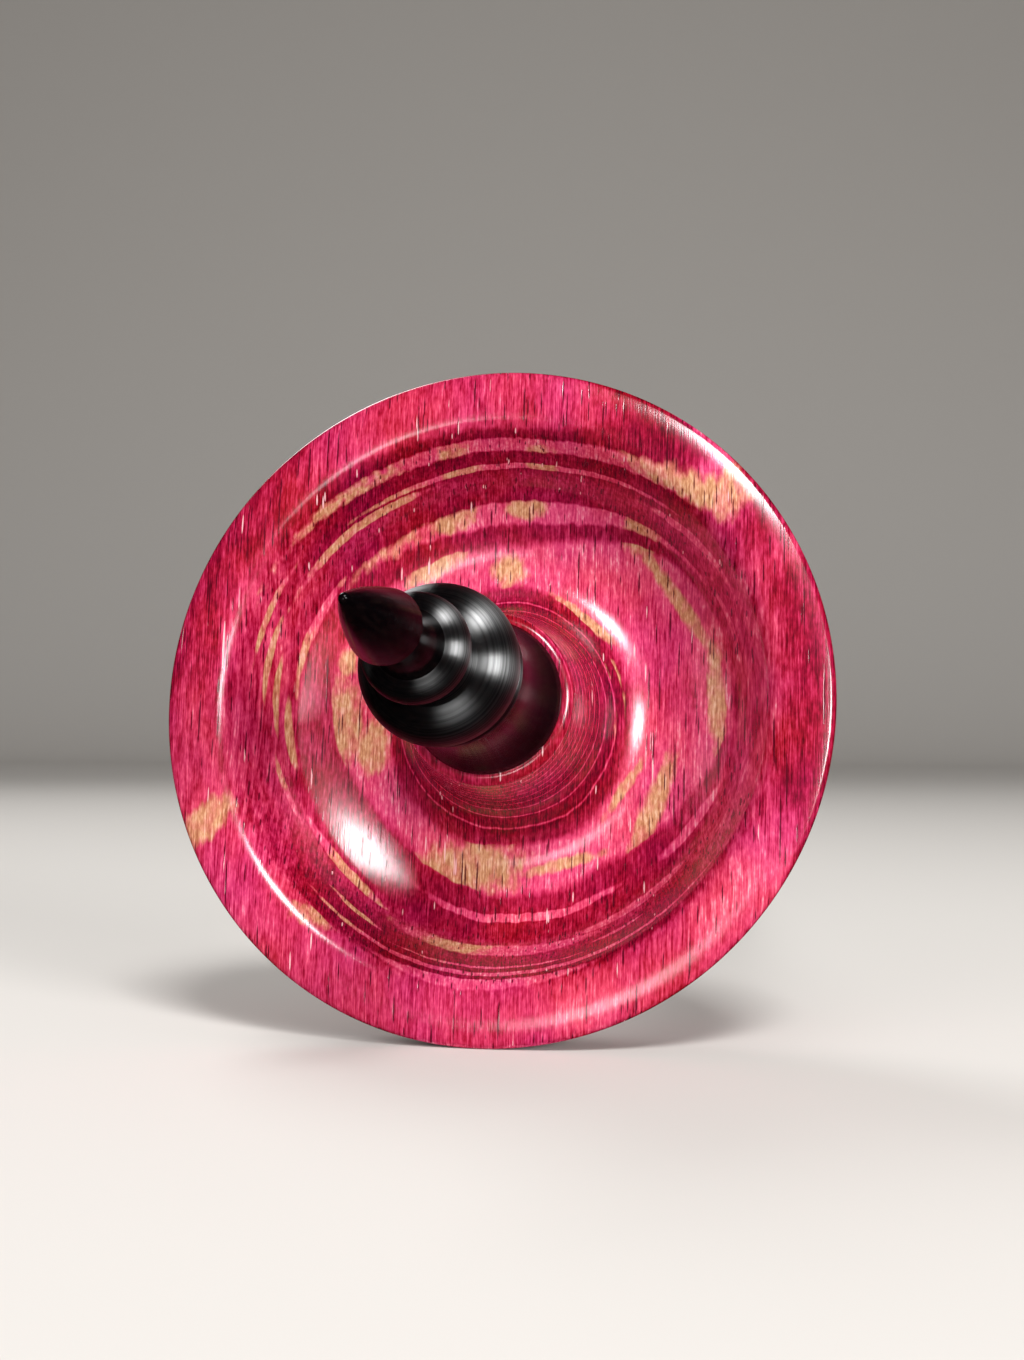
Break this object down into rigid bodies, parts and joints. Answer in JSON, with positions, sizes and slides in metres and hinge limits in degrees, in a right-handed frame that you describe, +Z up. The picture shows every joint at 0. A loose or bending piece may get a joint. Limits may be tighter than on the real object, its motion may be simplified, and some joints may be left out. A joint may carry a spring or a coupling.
{
  "type": "support spindle",
  "caption": "Support spindle: a dished dyed-wood whorl glued on a long tapered black shaft, with a beaded black tip whose point spins in a small dish.",
  "frame": {"origin": "on the surface that the spindle lies on, under the middle of its length: it rests on the edge of its whorl and on the rounded end of its shaft", "axes": "+Z up, +Y along the length towards the shaft's far end, so the tip points to -Y and a little up"},
  "size_m": [0.057, 0.2218, 0.0564],
  "materials": {
    "dyed_wood": "gloss",
    "black_wood": "gloss",
    "black_wood_tip": "gloss"
  },
  "bodies": {
    "root": {"whorl": "dyed_wood", "shaft": "black_wood", "tip": "black_wood_tip"}
  },
  "joints": []
}
